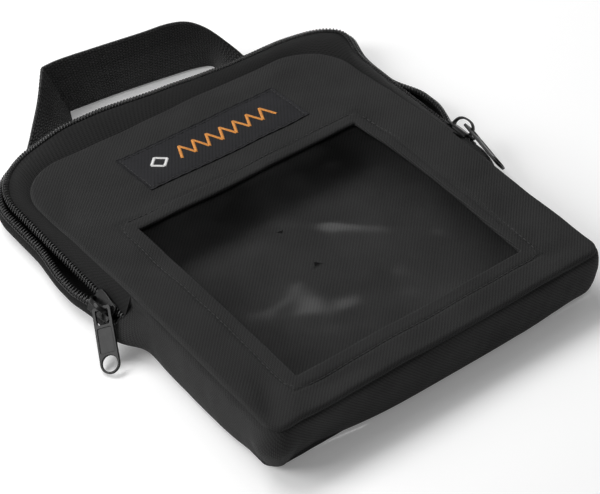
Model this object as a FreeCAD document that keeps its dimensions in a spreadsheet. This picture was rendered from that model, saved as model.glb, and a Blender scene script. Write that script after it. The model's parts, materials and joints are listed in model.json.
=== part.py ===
import FreeCAD, Part
import math
import os

import Sketcher
from FreeCAD import Placement, Rotation, Vector

# A small zip pouch that lies on its back: a clear window and a sewn label in the front, a coil zip
# with two sliders round its upper half, and a webbing carry loop. Millimetres, +Z up out of the
# window side, +Y towards the carry loop, origin under the middle of the back panel.

doc = FreeCAD.newDocument("zip_pouch")

# ---------------------------------------------------------------- driving dimensions

SIZES = {
    # panels
    "panel_width": 164.0,
    "panel_length": 186.0,
    "corner_round": 24.0,
    "foot_round": 6.0,
    "back_thickness": 1.4,
    "lining_thickness": 0.6,
    "front_thickness": 1.2,
    "gusset_thickness": 1.2,
    "foot_height": 25.0,
    "head_height": 18.5,
    "binding_thickness": 0.8,
    "binding_height": 6.0,
    "ply_gap": 0.1,
    # the line across the front where the upper half folds back
    "fold_below_window_head": 19.0,
    "fold_gap": 0.4,
    # window
    "window_width": 113.0,
    "window_shift": -2.0,
    "window_foot_margin": 17.5,
    "window_label_gap": 17.5,
    "window_round": 5.0,
    "pane_thickness": 0.5,
    "pane_overlap": 7.0,
    "thread_width": 0.8,
    "thread_height": 0.35,
    "hem_width": 5.5,
    # label
    "label_width": 83.0,
    "label_length": 27.0,
    "label_shift": 1.5,
    "label_head_margin": 17.5,
    "label_thickness": 0.5,
    "label_round": 1.5,
    "label_seam_inset": 1.2,
    "motif_height": 0.3,
    "motif_length": 50.0,
    "motif_shift": 6.0,
    "motif_stroke": 1.4,
    "motif_rise": 8.0,
    "accent_gap": 9.0,
    # zip
    "chain_height": 11.5,
    "chain_round": 27.0,
    "chain_tilt": 45.0,
    "flare_left": 6.0,
    "flare_right": 13.0,
    "flare_top": 15.5,
    "row_offset": 2.5,
    "coil_radius": 1.4,
    "tape_thickness": 0.56,
    "tape_flat": 3.5,
    "zip_start_below_fold": 12.0,
    "tab_length": 22.0,
    # sliders
    "slider_length": 14.0,
    "slider_wall": 0.9,
    "slider_rise_left": 11.0,
    "slider_rise_right": 8.5,
    "slider_clearance": 0.2,
    "plate_thickness": 1.0,
    "slot_height": 1.0,
    "wedge_length": 6.0,
    "bridge_width": 2.0,
    "bridge_length": 11.4,
    "bridge_strap": 1.0,
    "bridge_leg": 1.2,
    "bridge_window": 4.3,
    "pivot_lift": 0.15,
    # pull tabs
    "pull_length": 27.0,
    "pull_width": 8.4,
    "pull_thickness": 1.2,
    "pull_hole": 3.3,
    "eye_length": 6.0,
    "eye_rim": 1.0,
    "eye_bar": 1.6,
    "pull_seat": 2.4,
    "pull_droop_left": 30.7,
    "pull_yaw_left": -25.0,
    "pull_roll_left": -25.0,
    "pull_droop_right": 8.8,
    "pull_yaw_right": -7.0,
    "pull_roll_right": 50.0,
    # carry loop
    "webbing_width": 25.4,
    "webbing_thickness": 1.8,
    "webbing_spread": 48.0,
    "loop_reach": 23.0,
    "loop_half_span": 30.0,
    "loop_gap": 0.4,
    "floor_gap": 0.1,
    "bartack_length": 4.0,
    "bartack_inset": 1.5,
    "bartack_height": 0.2,
    "body_gap": 0.15,
}

sheet = doc.addObject("Spreadsheet::Sheet", "sizes")
for row, (alias, number) in enumerate(SIZES.items(), start=1):
    sheet.set(f"A{row}", alias)
    sheet.set(f"B{row}", str(number))
    sheet.setAlias(f"B{row}", alias)
doc.recompute()

# expressions that several pieces share
HALF_WIDTH = "sizes.panel_width / 2"
HALF_LENGTH = "sizes.panel_length / 2"
LABEL_LOW = "(sizes.panel_length / 2 - sizes.label_head_margin - sizes.label_length)"
WINDOW_LOW = "(sizes.window_foot_margin - sizes.panel_length / 2)"
WINDOW_HIGH = f"({LABEL_LOW} - sizes.window_label_gap)"
FOLD_LINE = f"({WINDOW_HIGH} - sizes.fold_below_window_head)"
ZIP_START = f"({FOLD_LINE} - sizes.zip_start_below_fold)"
FLAP_LENGTH = f"(sizes.panel_length / 2 - {FOLD_LINE})"
FLAP_TILT = f"atan((sizes.foot_height - sizes.head_height) / {FLAP_LENGTH})"
WINDOW_LEFT = "(sizes.window_shift - sizes.window_width / 2)"
WINDOW_RIGHT = "(sizes.window_shift + sizes.window_width / 2)"
CHANNEL_HALF = "(sizes.row_offset + sizes.coil_radius + sizes.slider_clearance)"
SLIDER_HALF = f"({CHANNEL_HALF} + sizes.slider_wall)"
CHANNEL_HEIGHT = "(2 * sizes.coil_radius + 0.5)"
SLIDER_TOP = f"({CHANNEL_HEIGHT} / 2 + sizes.plate_thickness)"
PIVOT_RISE = f"({SLIDER_TOP} + sizes.bridge_window / 2 + sizes.pivot_lift)"


def value(expression):
    """A size or expression as a plain number."""
    text = expression if "sizes." in expression else "sizes." + expression
    result = sheet.evalExpression(text)
    return float(getattr(result, "Value", result))


# ---------------------------------------------------------------- sketch and body helpers


def outline(sketch, left, right, low, high, low_round=None, high_round=None):
    """A rectangle between four bound sides, with rounded low and high corners where asked."""
    x0, x1, y0, y1 = (value(side) for side in (left, right, low, high))
    radii = [low_round, low_round, high_round, high_round]
    corners = [Vector(x0, y0), Vector(x1, y0), Vector(x1, y1), Vector(x0, y1)]
    steps = [Vector(1, 0), Vector(0, 1), Vector(-1, 0), Vector(0, -1)]
    reach = [value(r) if r else 0.0 for r in radii]
    first = sketch.GeometryCount
    for i in range(4):
        j = (i + 1) % 4
        start = corners[i] + steps[i] * reach[i]
        end = corners[j] - steps[i] * reach[j]
        sketch.addGeometry(Part.LineSegment(start, end), False)
        sketch.addConstraint(Sketcher.Constraint("Horizontal" if i % 2 == 0 else "Vertical", first + i))
    arcs = {}
    for i in range(4):
        if not radii[i]:
            sketch.addConstraint(Sketcher.Constraint("Coincident", first + (i - 1) % 4, 2, first + i, 1))
            continue
        centre = corners[i] + steps[i] * reach[i] - steps[i - 1] * reach[i]
        turn = math.pi + i * math.pi / 2
        circle = Part.Circle(centre, Vector(0, 0, 1), reach[i])
        arcs[i] = sketch.addGeometry(Part.ArcOfCircle(circle, turn, turn + math.pi / 2), False)
        sketch.addConstraint(Sketcher.Constraint("Tangent", first + (i - 1) % 4, 2, arcs[i], 1))
        sketch.addConstraint(Sketcher.Constraint("Tangent", arcs[i], 2, first + i, 1))
        index = sketch.addConstraint(Sketcher.Constraint("Radius", arcs[i], reach[i]))
        sketch.setExpression(f"Constraints[{index}]", radii[i])
    for line, kind, number, bound in (
        (first + 3, "DistanceX", x0, left),
        (first + 1, "DistanceX", x1, right),
        (first, "DistanceY", y0, low),
        (first + 2, "DistanceY", y1, high),
    ):
        index = sketch.addConstraint(Sketcher.Constraint(kind, -1, 1, line, 1, number))
        sketch.setExpression(f"Constraints[{index}]", bound)


def new_body(label, place=None, bound=()):
    """A PartDesign body with its label, its placement and the expressions that drive it."""
    body = doc.addObject("PartDesign::Body", label)
    body.Label = label
    if place:
        body.Placement = place
    for path, expression in bound:
        body.setExpression(path, expression)
    return body


def new_sketch(body, plane="XY_Plane", lift=None):
    """A sketch on one of the body's own origin planes, lifted off it by an expression."""
    sketch = body.newObject("Sketcher::SketchObject", body.Name + "_sketch")
    plane_object = next(f for f in body.Origin.OriginFeatures if f.Role == plane)
    sketch.AttachmentSupport = [(plane_object, "")]
    sketch.MapMode = "FlatFace"
    if lift:
        sketch.setExpression("AttachmentOffset.Base.z", lift)
    return sketch


def pad(body, sketch, length, both_sides=False, downwards=False):
    feature = body.newObject("PartDesign::Pad", body.Name + "_pad")
    feature.Profile = sketch
    feature.Midplane = both_sides
    feature.Reversed = downwards
    feature.setExpression("Length", length)
    sketch.Visibility = False
    return feature


def pocket(body, sketch, length, both_sides=True):
    feature = body.newObject("PartDesign::Pocket", body.Name + "_pocket")
    feature.Profile = sketch
    feature.Midplane = both_sides
    feature.setExpression("Length", length)
    sketch.Visibility = False
    return feature


LEVEL = (Placement(), ())
FLAP_PLACE = Placement(
    Vector(0, value(FOLD_LINE), value("foot_height")),
    Rotation(Vector(-1, 0, 0), value(FLAP_TILT)),
)
FLAP = (
    FLAP_PLACE,
    (
        ("Placement.Base.y", FOLD_LINE),
        ("Placement.Base.z", "sizes.foot_height"),
        ("Placement.Rotation.Angle", FLAP_TILT),
    ),
)
LOWER_FRONT = (
    Placement(Vector(0, 0, value("foot_height")), Rotation()),
    (("Placement.Base.z", "sizes.foot_height"),),
)
CUT_THROUGH = "4 * sizes.foot_height"


def plate(label, place, sides, thickness, rounds=(None, None), lift=None, downwards=False, hole=None):
    """A flat sheet inside four bound sides, with an optional opening of the same kind."""
    body = new_body(label, *place)
    sketch = new_sketch(body, lift=lift)
    outline(sketch, *sides, *rounds)
    pad(body, sketch, thickness, downwards=downwards)
    if hole:
        opening = new_sketch(body, lift=lift)
        outline(opening, *hole[0], *hole[1])
        pocket(body, opening, CUT_THROUGH)
    return body


def grown(sides, by, keep_low=False, keep_high=False):
    """The four sides moved outwards by an expression."""
    left, right, low, high = sides
    low = low if keep_low else f"{low} - ({by})"
    high = high if keep_high else f"{high} + ({by})"
    return (f"{left} - ({by})", f"{right} + ({by})", low, high)


def node(shape, label):
    """A sub-part whose shape no single feature makes, from Part's own functions."""
    feature = doc.addObject("Part::Feature", label)
    feature.Label = label
    feature.Shape = shape
    feature.Placement = Placement()
    return feature


# ---------------------------------------------------------------- back, gusset and bindings

BACK = (f"-{HALF_WIDTH}", HALF_WIDTH, f"-{HALF_LENGTH}", HALF_LENGTH)
INSIDE_WALL = "(sizes.gusset_thickness + sizes.ply_gap)"
LINING_TOP = "(sizes.back_thickness + sizes.ply_gap + sizes.lining_thickness)"

plate("back_panel", LEVEL, BACK, "sizes.back_thickness", ("sizes.foot_round", "sizes.corner_round"))
plate(
    "back_lining",
    LEVEL,
    grown(BACK, f"-{INSIDE_WALL}"),
    "sizes.lining_thickness",
    (f"sizes.foot_round - {INSIDE_WALL}", f"sizes.corner_round - {INSIDE_WALL}"),
    lift="sizes.back_thickness + sizes.ply_gap",
)


def foot_wall(label, inset, thickness, height, lift):
    """A strip that stands up along both sides and round the foot of the pouch."""
    outer = grown(BACK, f"-({inset})", keep_high=True)[:3] + (f"{ZIP_START} - 0.5",)
    inner = grown(outer, f"-({thickness})", keep_high=True)[:3] + (f"{ZIP_START} + 1",)
    body = new_body(label)
    sketch = new_sketch(body, lift=lift)
    outline(sketch, *outer, f"sizes.foot_round - ({inset})")
    pad(body, sketch, height)
    hollow = new_sketch(body, lift=lift)
    outline(hollow, *inner, f"sizes.foot_round - ({inset}) - ({thickness})")
    pocket(body, hollow, CUT_THROUGH)
    return body


WALL_HEIGHT = "(sizes.foot_height - sizes.front_thickness - sizes.back_thickness)"
foot_wall("bottom_gusset", "0", "sizes.gusset_thickness", WALL_HEIGHT, "sizes.back_thickness")
foot_wall(
    "seam_binding_back",
    INSIDE_WALL,
    "sizes.binding_thickness",
    "sizes.binding_height",
    f"{LINING_TOP} + sizes.ply_gap",
)
foot_wall(
    "seam_binding_front",
    INSIDE_WALL,
    "sizes.binding_thickness",
    "sizes.binding_height",
    "sizes.foot_height - sizes.front_thickness - sizes.pane_thickness - sizes.binding_height"
    " - 4 * sizes.ply_gap",
)

# ---------------------------------------------------------------- front, window and label

LOWER_EDGE = f"({FOLD_LINE} - sizes.fold_gap / 2)"
LOWER_SIDES = (f"-{HALF_WIDTH}", HALF_WIDTH, f"-{HALF_LENGTH}", LOWER_EDGE)
LOWER_WINDOW = (WINDOW_LEFT, WINDOW_RIGHT, WINDOW_LOW, f"{LOWER_EDGE} + 1")
UPPER_EDGE = "(sizes.fold_gap / 2)"
UPPER_SIDES = (f"-{HALF_WIDTH}", HALF_WIDTH, UPPER_EDGE, FLAP_LENGTH)
UPPER_WINDOW = (WINDOW_LEFT, WINDOW_RIGHT, f"{UPPER_EDGE} - 1", f"({WINDOW_HIGH} - {FOLD_LINE})")

plate(
    "front_panel_lower",
    LOWER_FRONT,
    LOWER_SIDES,
    "sizes.front_thickness",
    ("sizes.foot_round", None),
    downwards=True,
    hole=(LOWER_WINDOW, ("sizes.window_round", None)),
)
plate(
    "front_panel_upper",
    FLAP,
    UPPER_SIDES,
    "sizes.front_thickness",
    (None, "sizes.corner_round"),
    downwards=True,
    hole=(UPPER_WINDOW, (None, "sizes.window_round")),
)

PANE_LIFT = "-(sizes.front_thickness + sizes.ply_gap)"
LOWER_PANE = grown(LOWER_WINDOW, "sizes.pane_overlap", keep_high=True)[:3] + (LOWER_EDGE,)
UPPER_PANE = grown(UPPER_WINDOW, "sizes.pane_overlap", keep_low=True)
UPPER_PANE = UPPER_PANE[:2] + (UPPER_EDGE, UPPER_PANE[3])
PANE = "sizes.pane_thickness"
plate("window_pane_lower", LOWER_FRONT, LOWER_PANE, PANE, lift=PANE_LIFT, downwards=True)
plate("window_pane_upper", FLAP, UPPER_PANE, PANE, lift=PANE_LIFT, downwards=True)

SEAM_OUT = "sizes.hem_width + sizes.thread_width"
SEAM_ROUND = "sizes.window_round + sizes.hem_width"
LOWER_SEAM = grown(LOWER_WINDOW, SEAM_OUT, keep_high=True)[:3] + (LOWER_EDGE,)
UPPER_SEAM = grown(UPPER_WINDOW, SEAM_OUT, keep_low=True)
UPPER_SEAM = UPPER_SEAM[:2] + (UPPER_EDGE, UPPER_SEAM[3])
plate(
    "window_thread_lower",
    LOWER_FRONT,
    LOWER_SEAM,
    "sizes.thread_height",
    (f"{SEAM_ROUND} + sizes.thread_width", None),
    hole=(grown(LOWER_WINDOW, "sizes.hem_width", keep_high=True), (SEAM_ROUND, None)),
)
plate(
    "window_thread_upper",
    FLAP,
    UPPER_SEAM,
    "sizes.thread_height",
    (None, f"{SEAM_ROUND} + sizes.thread_width"),
    hole=(grown(UPPER_WINDOW, "sizes.hem_width", keep_low=True), (None, SEAM_ROUND)),
)

LABEL = (
    "sizes.label_shift - sizes.label_width / 2",
    "sizes.label_shift + sizes.label_width / 2",
    f"{LABEL_LOW} - {FOLD_LINE}",
    f"{LABEL_LOW} - {FOLD_LINE} + sizes.label_length",
)
LABEL_TOP = "sizes.label_thickness"
LABEL_SEAM = grown(LABEL, "-sizes.label_seam_inset")
plate("label_patch", FLAP, LABEL, LABEL_TOP, ("sizes.label_round", "sizes.label_round"))
plate(
    "label_thread",
    FLAP,
    LABEL_SEAM,
    "sizes.thread_height",
    lift=LABEL_TOP,
    hole=(grown(LABEL_SEAM, "-sizes.thread_width"), (None, None)),
)


def stroke(points):
    """A raised run of stitching of even width along straight stretches."""
    width, height = value("motif_stroke"), value("motif_height")
    solids = []
    for start, end in zip(points, points[1:]):
        run = end - start
        side = Vector(-run.y, run.x, 0).normalize() * width / 2
        corners = [start - side, end - side, end + side, start + side]
        face = Part.Face(Part.makePolygon(corners + corners[:1]))
        solids.append(face.extrude(Vector(0, 0, height)))
        solids.append(Part.makeCylinder(width / 2, height, end))
    return solids[0].fuse(solids[1:]).removeSplitter()


def motif_on_label(shape, label):
    """Places embroidery drawn from the label's centre on the label's face."""
    centre = Vector(
        value("label_shift"),
        value(f"{LABEL_LOW} - {FOLD_LINE} + sizes.label_length / 2"),
        value("label_thickness"),
    )
    feature = node(shape, label)
    feature.Placement = FLAP_PLACE.multiply(Placement(centre, Rotation()))
    return feature


ZIGZAG_LEGS = 14
MOTIF_HALF = value("motif_rise") / 2
MOTIF_START = value("motif_shift") - value("motif_length") / 2


def zigzag_motif():
    """A plain zigzag band, as generic embroidery."""
    step = value("motif_length") / ZIGZAG_LEGS
    turns = range(ZIGZAG_LEGS + 1)
    return stroke([Vector(MOTIF_START + i * step, MOTIF_HALF * (-1) ** (i + 1), 0) for i in turns])


def accent_motif():
    """A plain diamond beside the band."""
    middle = Vector(MOTIF_START - value("accent_gap"), 0, 0)
    ring = [middle + Vector(x, y, 0) * MOTIF_HALF for x, y in ((0, -1), (1, 0), (0, 1), (-1, 0))]
    return stroke(ring + ring[:1])


motif_on_label(zigzag_motif(), "label_motif_orange")
motif_on_label(accent_motif(), "label_motif_white")

# ---------------------------------------------------------------- zip tapes and coils

PANEL_RAIL = {"left": 0.0, "right": 0.0, "top": 0.0}
CHAIN_RAIL = {side: value("flare_" + side) for side in PANEL_RAIL}


def rail(flares, corner, out, height, place=None):
    """The five edges of a line up one side, round both upper corners and down the other side.

    out moves the whole line outwards, and height is its level over the floor."""
    half, top = value(HALF_WIDTH), value(HALF_LENGTH) + flares["top"] + out
    left, right = -half - flares["left"] - out, half + flares["right"] + out
    low, bend = value(ZIP_START), corner + out
    if place:
        tilt = math.radians(value(FLAP_TILT))
        top -= value(FOLD_LINE)
        low = (low - value(FOLD_LINE) - height * math.sin(tilt)) / math.cos(tilt)
    middle = bend * (1 - math.sqrt(0.5))
    stops = [
        Vector(left, low, height),
        Vector(left, top - bend, height),
        Vector(left + middle, top - middle, height),
        Vector(left + bend, top, height),
        Vector(right - bend, top, height),
        Vector(right - middle, top - middle, height),
        Vector(right, top - bend, height),
        Vector(right, low, height),
    ]
    if place:
        stops = [place.multVec(stop) for stop in stops]
    return [
        Part.LineSegment(stops[0], stops[1]).toShape(),
        Part.Arc(stops[1], stops[2], stops[3]).toShape(),
        Part.LineSegment(stops[3], stops[4]).toShape(),
        Part.Arc(stops[4], stops[5], stops[6]).toShape(),
        Part.LineSegment(stops[6], stops[7]).toShape(),
    ]


def strip(rails):
    """A closed solid whose section has one corner on each rail."""
    faces = []
    for first, second in zip(rails, rails[1:] + rails[:1]):
        faces += [Part.makeRuledSurface(a, b) for a, b in zip(first, second)]
    for edge, end in ((0, 0), (-1, -1)):
        corners = [r[edge].Vertexes[end].Point for r in rails]
        faces.append(Part.Face(Part.makePolygon(corners + corners[:1])))
    shell = Part.Shell(faces)
    shell.sewShape()
    solid = Part.Solid(shell)
    if solid.Volume < 0:
        solid.reverse()
    return solid


TILT = math.radians(value("chain_tilt"))
CHAIN_ROUND = value("chain_round")


def chain_point(across, face=0.0):
    """(out, height) of a point in the chain's tilted section, across from its middle and off its face."""
    out = across * math.cos(TILT) + face * math.sin(TILT)
    height = value("chain_height") - across * math.sin(TILT) + face * math.cos(TILT)
    return out, height


def chain_rail(across, face=0.0):
    out, height = chain_point(across, face)
    return rail(CHAIN_RAIL, CHAIN_ROUND, out, height)


ROW = value("row_offset")
TAPE_TIP = ROW + value("coil_radius") + value("body_gap") / 2
TAPE_KNEE = TAPE_TIP + value("tape_flat")
TAPE_HALF = value("tape_thickness") / 2
CORNER = value("corner_round")
SEAM_CLEAR = value("body_gap")
BACK_SEAM = value(LINING_TOP) + value("ply_gap")


def front_tape():
    """From the flap's edge down to the front coil row."""
    seam_top = rail(PANEL_RAIL, CORNER, SEAM_CLEAR + 0.05, -value("ply_gap"), FLAP_PLACE)
    seam_low = rail(PANEL_RAIL, CORNER, SEAM_CLEAR, -value("ply_gap") - 2 * TAPE_HALF, FLAP_PLACE)
    outer = [seam_top, chain_rail(-TAPE_KNEE, TAPE_HALF), chain_rail(-TAPE_TIP, TAPE_HALF)]
    inner = [chain_rail(-TAPE_TIP, -TAPE_HALF), chain_rail(-TAPE_KNEE, -TAPE_HALF), seam_low]
    return strip(outer + inner)


def back_tape():
    """From the back coil row out, under and in to the back panel's edge."""
    knee_out, knee_height = chain_point(TAPE_KNEE)
    outer = [
        chain_rail(TAPE_TIP, TAPE_HALF),
        rail(CHAIN_RAIL, CHAIN_ROUND, knee_out + TAPE_HALF, knee_height - TAPE_HALF / 3),
        rail(PANEL_RAIL, CORNER, SEAM_CLEAR, BACK_SEAM),
    ]
    inner = [
        rail(PANEL_RAIL, CORNER, SEAM_CLEAR, BACK_SEAM + 2 * TAPE_HALF),
        rail(CHAIN_RAIL, CHAIN_ROUND, knee_out - TAPE_HALF, knee_height + TAPE_HALF / 3),
        chain_rail(TAPE_TIP, -TAPE_HALF),
    ]
    return strip(outer + inner)


def coil_row(across):
    """One row of the coil as a plain round bar of the coil's outer size."""
    path = Part.Wire(chain_rail(across))
    start = path.Edges[0].Vertexes[0].Point
    section = Part.Wire(Part.makeCircle(value("coil_radius"), start, Vector(0, 1, 0)))
    return path.makePipeShell([section], True, True)


node(front_tape(), "zip_tape_front")
node(back_tape(), "zip_tape_back")
node(coil_row(-ROW), "zip_coil_front")
node(coil_row(ROW), "zip_coil_back")


def end_tab(side):
    """The fabric that closes the end of the zip: it comes in from the zip's bulge to the gusset."""
    knee_out, crest = chain_point(TAPE_KNEE)
    bulge = CHAIN_RAIL["left" if side < 0 else "right"] + knee_out
    half, wall = value(HALF_WIDTH) + SEAM_CLEAR, value("gusset_thickness")
    start = value(ZIP_START) - 0.4
    end = start - value("tab_length")
    low, high = value("back_thickness") + 0.2, value("foot_height") - value("front_thickness") - 0.3

    def wedge(inset):
        """The bulge, tapering to nothing at the gusset, inset inwards along X."""
        low_root, high_root = Vector(side * half, start, low), Vector(side * half, start, high)
        end_root = Vector(side * half, end + inset * value("tab_length") / bulge, crest)
        tip = Vector(side * (half + bulge - inset), start, crest)
        faces = [
            Part.Face(Part.makePolygon([low_root, high_root, end_root, low_root])),
            Part.Face(Part.makePolygon([low_root, tip, high_root, low_root])),
            Part.Face(Part.makePolygon([low_root, end_root, tip, low_root])),
            Part.Face(Part.makePolygon([high_root, tip, end_root, high_root])),
        ]
        solid = Part.Solid(Part.Shell(faces))
        if solid.Volume < 0:
            solid.reverse()
        return solid

    return wedge(0.0).cut(wedge(wall).translated(Vector(0, 0.01, 0)))


# ---------------------------------------------------------------- sliders and pull tabs


def slider_base(side):
    """The middle of a slider on the chain, and the turn that lays it on the chain."""
    name = "left" if side < 0 else "right"
    out = value(HALF_WIDTH) + CHAIN_RAIL[name]
    rise = value(f"{ZIP_START} + sizes.slider_rise_{name}")
    place = Vector(side * out, rise, value("chain_height"))
    return name, Placement(place, Rotation(Vector(0, 1, 0), side * value("chain_tilt")))


def bound_slider(side, name):
    """The expressions that keep a slider on its chain."""
    sign = "-" if side < 0 else ""
    return (
        ("Placement.Base.x", f"{sign}({HALF_WIDTH} + sizes.flare_{name})"),
        ("Placement.Base.y", f"{ZIP_START} + sizes.slider_rise_{name}"),
        ("Placement.Base.z", "sizes.chain_height"),
    )


def slider_body(side):
    """Two plates held apart by a wedge, with a channel for the coils and a slot for the tapes."""
    name, place = slider_base(side)
    body = new_body("slider_body_" + name, place, bound_slider(side, name))
    half_length = "sizes.slider_length / 2"
    shell = new_sketch(body)
    outline(shell, f"-{SLIDER_HALF}", SLIDER_HALF, f"-{half_length}", half_length,
            f"{SLIDER_HALF} * 0.7", f"{SLIDER_HALF} * 0.4")
    pad(body, shell, f"2 * {SLIDER_TOP}", both_sides=True)
    channel = new_sketch(body)
    outline(channel, f"-{CHANNEL_HALF}", CHANNEL_HALF, f"-{half_length} - 1", f"{half_length} + 1")
    pocket(body, channel, CHANNEL_HEIGHT)
    slot = new_sketch(body)
    outline(slot, f"-{SLIDER_HALF} - 1", f"{SLIDER_HALF} + 1", f"-{half_length} - 1", f"{half_length} + 1")
    pocket(body, slot, "sizes.slot_height")
    wedge = new_sketch(body)
    wedge_half = "(sizes.row_offset - sizes.coil_radius - sizes.slider_clearance)"
    outline(wedge, f"-{wedge_half}", wedge_half, f"{half_length} - sizes.wedge_length", half_length,
            f"{wedge_half} * 0.9")
    pad(body, wedge, f"{CHANNEL_HEIGHT} + sizes.plate_thickness", both_sides=True)
    return body


def slider_bridge(side):
    """The strap over the slider's face that the pull tab hangs from."""
    name, place = slider_base(side)
    body = new_body("slider_bridge_" + name, place, bound_slider(side, name))
    half, top = "sizes.bridge_length / 2", f"({SLIDER_TOP} + sizes.bridge_window)"
    arch = new_sketch(body, "YZ_Plane")
    crown = f"{top} + sizes.bridge_strap"
    outline(arch, f"-{half}", half, SLIDER_TOP, crown, None, "2.2 * sizes.bridge_strap")
    pad(body, arch, "sizes.bridge_width", both_sides=True)
    inner = f"({half} - sizes.bridge_leg)"
    window = new_sketch(body, "YZ_Plane")
    outline(window, f"-{inner}", inner, f"{SLIDER_TOP} - 1", top, None, "1.2 * sizes.bridge_strap")
    pocket(body, window, "2 * sizes.bridge_width")
    return body


def pull_place(side):
    """A pull tab's own axes: its bar along X, its length towards -Y, its face up."""
    name, base = slider_base(side)
    pivot = base.multVec(Vector(0, -value("pull_seat"), value(PIVOT_RISE)))
    turn = (
        Rotation(Vector(0, 0, 1), value("pull_yaw_" + name))
        .multiply(Rotation(Vector(1, 0, 0), value("pull_droop_" + name)))
        .multiply(Rotation(Vector(0, 1, 0), value("pull_roll_" + name)))
    )
    return name, Placement(pivot, turn)


def pull_tab(side):
    """A flat tab with an eye round the bridge and a round hole near its far end."""
    name, place = pull_place(side)
    body = new_body("pull_tab_" + name, place)
    half, bar = "sizes.pull_width / 2", "(sizes.eye_bar / 2)"
    blank = new_sketch(body)
    outline(blank, f"-{half}", half, "-sizes.pull_length", bar, f"0.99 * {half}", bar)
    pad(body, blank, "sizes.pull_thickness", both_sides=True)
    eye = new_sketch(body)
    eye_half = f"({half} - sizes.eye_rim)"
    outline(eye, f"-{eye_half}", eye_half, f"-{bar} - sizes.eye_length", f"-{bar}",
            "1.5 * sizes.eye_rim", "0.3 * sizes.eye_rim")
    pocket(body, eye, "2 * sizes.pull_thickness")
    hole = new_sketch(body)
    reach, radius = f"sizes.pull_length - {half}", "sizes.pull_hole"
    circle = Part.Circle(Vector(0, -value(reach), 0), Vector(0, 0, 1), value(radius))
    hole.addGeometry(circle, False)
    hole.addConstraint(Sketcher.Constraint("PointOnObject", 0, 3, -2))
    for kind, items, expression in (
        ("Radius", (0,), radius),
        ("DistanceY", (0, 3, -1, 1), reach),
    ):
        index = hole.addConstraint(Sketcher.Constraint(kind, *items, value(expression)))
        hole.setExpression(f"Constraints[{index}]", expression)
    pocket(body, hole, "2 * sizes.pull_thickness")
    return body


for side in (-1, 1):
    node(end_tab(side), "zip_end_tab_" + ("left" if side < 0 else "right"))
    slider_body(side)
    slider_bridge(side)
    pull_tab(side)

# ---------------------------------------------------------------- carry loop

LOOP_ROOT = value(f"{HALF_LENGTH} + sizes.flare_top") + chain_point(TAPE_KNEE)[0] + TAPE_HALF + 0.6
WEB_LOW = value("floor_gap")
WEB_HIGH = WEB_LOW + value("webbing_thickness")
WEB_HALF = value("webbing_width") / 2


def webbing_end(side):
    """The sewn-in end of the carry loop, flat under the zip tape from the back panel's edge."""
    left = side * value("webbing_spread") - WEB_HALF
    low = value(HALF_LENGTH) + SEAM_CLEAR
    length = LOOP_ROOT - value("loop_gap") - low
    return Part.makeBox(2 * WEB_HALF, length, WEB_HIGH - WEB_LOW, Vector(left, low, WEB_LOW))


def bartack(side):
    """A dense bar of stitches across the sewn-in end."""
    length, inset = value("bartack_length"), value("bartack_inset")
    corner = Vector(
        side * value("webbing_spread") - WEB_HALF + inset,
        value(HALF_LENGTH) + SEAM_CLEAR + inset,
        WEB_HIGH,
    )
    return Part.makeBox(2 * (WEB_HALF - inset), length, value("bartack_height"), corner)


def ruled_block(first, second):
    """A closed solid between two four-cornered ends whose sides twist evenly from one to the other."""
    faces = [Part.Face(Part.makePolygon(points + points[:1])) for points in (first, second)]
    for i in range(4):
        side = Part.BezierSurface()
        side.setPole(1, 1, first[i])
        side.setPole(2, 1, first[(i + 1) % 4])
        side.setPole(1, 2, second[i])
        side.setPole(2, 2, second[(i + 1) % 4])
        faces.append(side.toShape())
    shell = Part.Shell(faces)
    shell.sewShape()
    solid = Part.Solid(shell)
    if solid.Volume < 0:
        solid.reverse()
    return solid


def loop_middle():
    """The straight run of the loop, on edge between its two twisted legs."""
    reach, span = LOOP_ROOT + value("loop_reach"), value("loop_half_span")
    corner = Vector(-span, reach, WEB_LOW)
    return Part.makeBox(2 * span, value("webbing_thickness"), 2 * WEB_HALF, corner)


def loop_twist(side):
    """A leg of the loop, flat at its root and turned on edge where it meets the middle."""
    reach = LOOP_ROOT + value("loop_reach")
    thick, span = value("webbing_thickness"), value("loop_half_span")
    top = WEB_LOW + 2 * WEB_HALF
    outer = side * (value("webbing_spread") + WEB_HALF)
    inner = side * (value("webbing_spread") - WEB_HALF)
    root = [
        Vector(outer, LOOP_ROOT, WEB_LOW),
        Vector(outer, LOOP_ROOT, WEB_HIGH),
        Vector(inner, LOOP_ROOT, WEB_HIGH),
        Vector(inner, LOOP_ROOT, WEB_LOW),
    ]
    edge = [
        Vector(side * span, reach + thick, top),
        Vector(side * span, reach, top),
        Vector(side * span, reach, WEB_LOW),
        Vector(side * span, reach + thick, WEB_LOW),
    ]
    return ruled_block(root, edge)


for side, name in ((-1, "left"), (1, "right")):
    node(webbing_end(side), "handle_end_" + name)
    node(bartack(side), "handle_bartack_" + name)
    node(loop_twist(side), "handle_twist_" + name)
node(loop_middle(), "handle_middle")

# ---------------------------------------------------------------- checks and export

doc.recompute()
problems = []
for item in doc.Objects:
    if {"Invalid", "Error"} & set(item.State):
        problems.append(f"{item.Label}: {item.State}")
SUBPARTS = [
    item
    for item in doc.Objects
    if item.TypeId in ("PartDesign::Body", "Part::Feature")
]
for item in SUBPARTS:
    if item.Shape.isNull() or not item.Shape.isValid() or item.Shape.Volume <= 0:
        problems.append(f"{item.Label}: bad shape")
if problems:
    raise SystemExit("not exported: " + "; ".join(problems))

os.makedirs("parts", exist_ok=True)
for item in SUBPARTS:
    item.Shape.exportStep(f"parts/{item.Label}.step")
print(len(SUBPARTS), "sub-parts written")
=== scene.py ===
import json
import math
from functools import partial

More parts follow.
